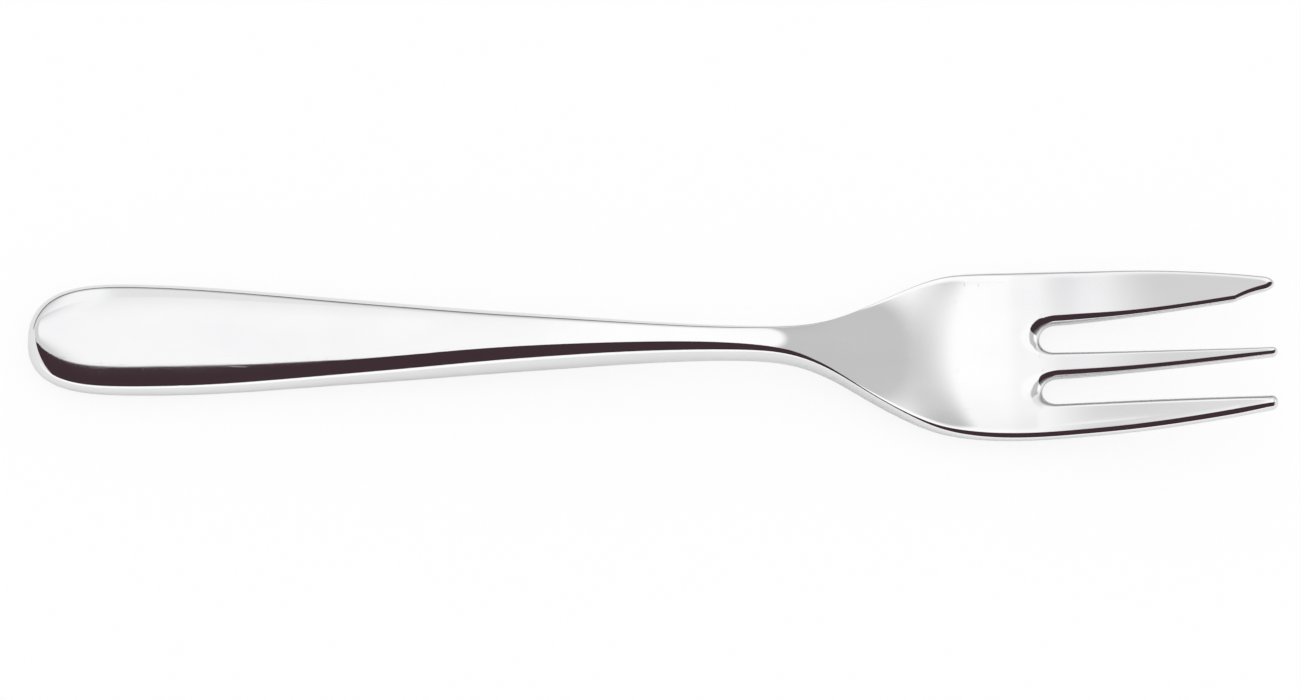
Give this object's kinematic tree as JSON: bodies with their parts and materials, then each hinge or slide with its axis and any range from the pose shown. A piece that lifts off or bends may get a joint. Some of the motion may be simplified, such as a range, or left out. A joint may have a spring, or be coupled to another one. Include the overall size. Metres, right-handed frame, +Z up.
{
  "type": "pastry fork",
  "caption": "One-piece polished steel pastry fork with a rounded butt, slim neck, dished head, notched cutting tine and two plain tines.",
  "frame": {"origin": "centre of the fork's bounding box in plan, on the table under it", "axes": "+X along the fork from the butt to the tips, +Y to the cutting tine's side, +Z up from the table, with the fork lying on its back"},
  "size_m": [0.15, 0.0228, 0.008],
  "materials": {
    "polished_steel": "polished"
  },
  "bodies": {
    "root": {"handle": "polished_steel", "neck": "polished_steel", "head": "polished_steel", "cutting_tine": "polished_steel", "middle_tine": "polished_steel", "outer_tine": "polished_steel"}
  },
  "joints": []
}
